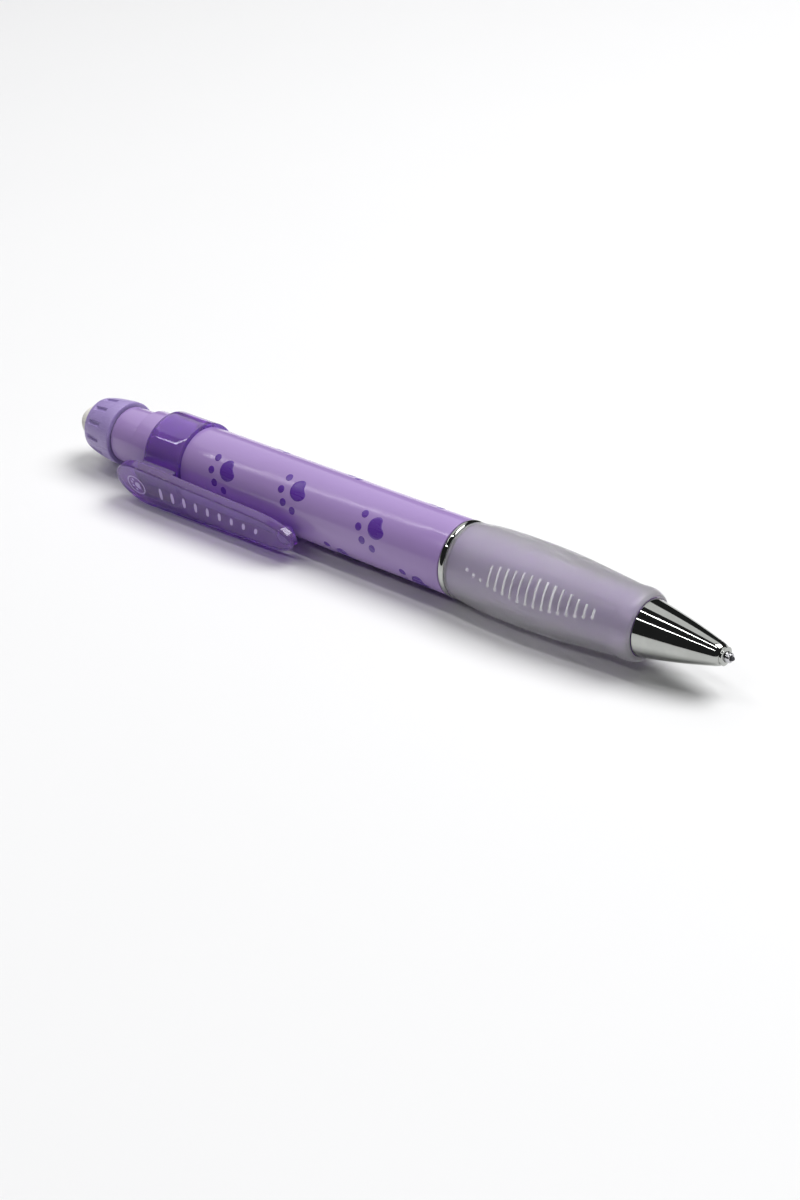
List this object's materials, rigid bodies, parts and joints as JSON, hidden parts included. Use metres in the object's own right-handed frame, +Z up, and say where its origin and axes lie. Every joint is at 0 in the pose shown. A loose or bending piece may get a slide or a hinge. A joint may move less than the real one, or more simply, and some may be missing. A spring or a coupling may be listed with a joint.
{
  "type": "mechanical pencil",
  "caption": "Push-button mechanical pencil with a twist-out eraser, translucent pocket clip, paw-print barrel, frosted rubber grip and metal nose cone.",
  "frame": {"origin": "on the table, under the middle of the pencil's bounding box as it lies", "axes": "+X along the pencil from the eraser to the lead; +Z up; the clip lies towards -Y"},
  "size_m": [0.1406, 0.0178, 0.0142],
  "materials": {
    "lilac_plastic": "glossy moulded lilac plastic with printed paw marks",
    "violet_plastic": "clear violet-tinted moulded plastic",
    "frosted_rubber": "frosted, slightly see-through soft rubber",
    "chrome_plate": "bright chrome plating",
    "bright_steel": "drawn bright steel",
    "turned_brass": "turned brass",
    "white_plastic": "natural moulded plastic, hidden inside",
    "black_rubber": "soft black rubber",
    "eraser_rubber": "off-white matt eraser",
    "graphite": "dark grey pencil lead"
  },
  "bodies": {
    "pen_body": {"barrel": "lilac_plastic", "trim_ring": "chrome_plate", "grip_sleeve": "frosted_rubber", "nose_cone": "chrome_plate", "lead_guide": "bright_steel", "lead_retainer": "black_rubber", "chuck_bush": "white_plastic", "chuck_spring": "bright_steel", "clip_collar": "violet_plastic"},
    "push_unit": {"push_sleeve": "lilac_plastic", "lead_tube": "white_plastic", "chuck_connector": "white_plastic", "chuck": "turned_brass", "spare_lead_1": "graphite", "spare_lead_2": "graphite"},
    "twist_unit": {"twist_knob": "lilac_plastic", "spiral_tube": "white_plastic"},
    "eraser_unit": {"eraser_carrier": "white_plastic", "eraser": "eraser_rubber"},
    "clutch": {"clutch_ring": "turned_brass"},
    "writing_lead": {"lead": "graphite"},
    "clip": {"clip_arm": "violet_plastic"}
  },
  "joints": [
    {"name": "push_button", "type": "slide", "parent": "pen_body", "child": "push_unit", "axis": [1, 0, 0], "range_m": [0, 0.0045], "stiffness_N_per_m": 300, "springref_m": -0.002, "deforming": ["chuck_spring"]},
    {"name": "knob_twist", "type": "hinge", "parent": "push_unit", "child": "twist_unit", "pos_m": [-0.05995, 0.00184, 0.0071], "axis": [1, 0, 0], "range_deg": [-180, 900]},
    {"name": "eraser_feed", "type": "slide", "parent": "push_unit", "child": "eraser_unit", "axis": [-1, 0, 0], "range_m": [-0.003, 0.015]},
    {"name": "clutch_slide", "type": "slide", "parent": "pen_body", "child": "clutch", "axis": [1, 0, 0], "range_m": [0, 0.001]},
    {"name": "lead_feed", "type": "slide", "parent": "clutch", "child": "writing_lead", "axis": [1, 0, 0], "range_m": [-0.0008, 0.012]},
    {"name": "clip_flex", "type": "hinge", "parent": "pen_body", "child": "clip", "pos_m": [-0.03965, -0.00681, 0.00462], "axis": [0, 0.2759, -0.9612], "range_deg": [0, 4], "stiffness_Nm_per_rad": 2}
  ],
  "couplings": [
    {"joint": "knob_twist", "follows": "eraser_feed", "rad_per_m": 1047.2},
    {"joint": "clutch_slide", "follows": "push_button", "ratio": 0.22222}
  ]
}
